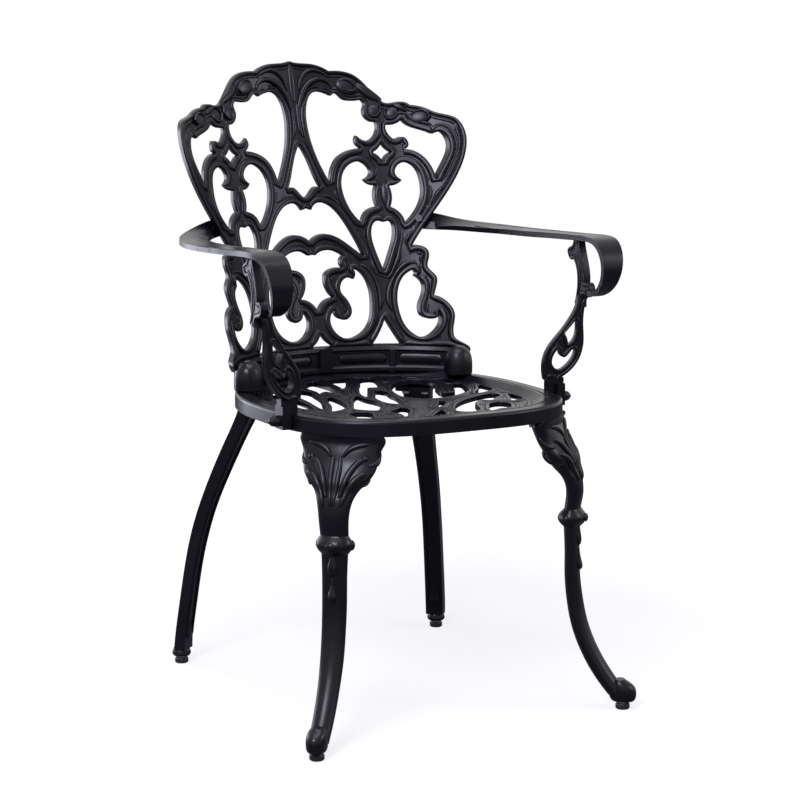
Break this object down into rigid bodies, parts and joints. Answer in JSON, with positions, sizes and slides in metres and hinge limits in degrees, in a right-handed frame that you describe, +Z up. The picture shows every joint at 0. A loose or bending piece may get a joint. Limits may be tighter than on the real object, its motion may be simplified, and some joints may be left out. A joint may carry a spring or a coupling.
{
  "type": "garden armchair",
  "caption": "Ornate cast-metal garden armchair with an openwork curved back, scrolled seat panel, rolled arms, cabriole front legs and screw-down levelling glides.",
  "frame": {"origin": "middle of the chair's box on the floor", "axes": "+Z up, the sitter faces -Y, +X to the right seen from the front"},
  "size_m": [0.5604, 0.5974, 0.89],
  "materials": {
    "casting": "satin black powder coat",
    "black_cap_nut": "satin black paint",
    "zinc_fixing": "bright zinc plate",
    "glide_plastic": "matte black nylon"
  },
  "bodies": {
    "chair": {"seat_casting": "casting", "back_casting": "casting", "arm_left": "casting", "arm_right": "casting", "leg_front_left": "casting", "leg_front_right": "casting", "leg_rear_left": "casting", "leg_rear_right": "casting", "leg_bolts": "zinc_fixing", "leg_washers": "zinc_fixing", "back_bolts": "zinc_fixing", "back_washers": "zinc_fixing", "arm_seat_bolts": "zinc_fixing", "arm_seat_cap_nuts": "black_cap_nut", "arm_back_bolts": "black_cap_nut", "arm_back_cap_nuts": "black_cap_nut"},
    "glide_stud_front_right": {"glide_stud_front_right": "zinc_fixing"},
    "glide_pad_front_right": {"glide_pad_front_right": "glide_plastic"},
    "glide_stud_front_left": {"glide_stud_front_left": "zinc_fixing"},
    "glide_pad_front_left": {"glide_pad_front_left": "glide_plastic"},
    "glide_stud_rear_right": {"glide_stud_rear_right": "zinc_fixing"},
    "glide_pad_rear_right": {"glide_pad_rear_right": "glide_plastic"},
    "glide_stud_rear_left": {"glide_stud_rear_left": "zinc_fixing"},
    "glide_pad_rear_left": {"glide_pad_rear_left": "glide_plastic"}
  },
  "joints": [
    {"name": "glide_travel_front_right", "type": "slide", "parent": "chair", "child": "glide_stud_front_right", "axis": [0, 0, -1], "range_m": [0, 0.008]},
    {"name": "glide_turn_front_right", "type": "hinge", "parent": "glide_stud_front_right", "child": "glide_pad_front_right", "pos_m": [0.23688, -0.28188, 0], "axis": [0, 0, 1], "range_deg": [0, 2304]},
    {"name": "glide_travel_front_left", "type": "slide", "parent": "chair", "child": "glide_stud_front_left", "axis": [0, 0, -1], "range_m": [0, 0.008]},
    {"name": "glide_turn_front_left", "type": "hinge", "parent": "glide_stud_front_left", "child": "glide_pad_front_left", "pos_m": [-0.23688, -0.28188, 0], "axis": [0, 0, 1], "range_deg": [0, 2304]},
    {"name": "glide_travel_rear_right", "type": "slide", "parent": "chair", "child": "glide_stud_rear_right", "axis": [0, 0, -1], "range_m": [0, 0.008]},
    {"name": "glide_turn_rear_right", "type": "hinge", "parent": "glide_stud_rear_right", "child": "glide_pad_rear_right", "pos_m": [0.21796, 0.22182, 0], "axis": [0, 0, 1], "range_deg": [0, 2304]},
    {"name": "glide_travel_rear_left", "type": "slide", "parent": "chair", "child": "glide_stud_rear_left", "axis": [0, 0, -1], "range_m": [0, 0.008]},
    {"name": "glide_turn_rear_left", "type": "hinge", "parent": "glide_stud_rear_left", "child": "glide_pad_rear_left", "pos_m": [-0.21796, 0.22182, 0], "axis": [0, 0, 1], "range_deg": [0, 2304]}
  ],
  "couplings": [
    {"joint": "glide_turn_front_right", "follows": "glide_travel_front_right", "rad_per_m": 5026.5},
    {"joint": "glide_turn_front_left", "follows": "glide_travel_front_left", "rad_per_m": 5026.5},
    {"joint": "glide_turn_rear_right", "follows": "glide_travel_rear_right", "rad_per_m": 5026.5},
    {"joint": "glide_turn_rear_left", "follows": "glide_travel_rear_left", "rad_per_m": 5026.5}
  ]
}
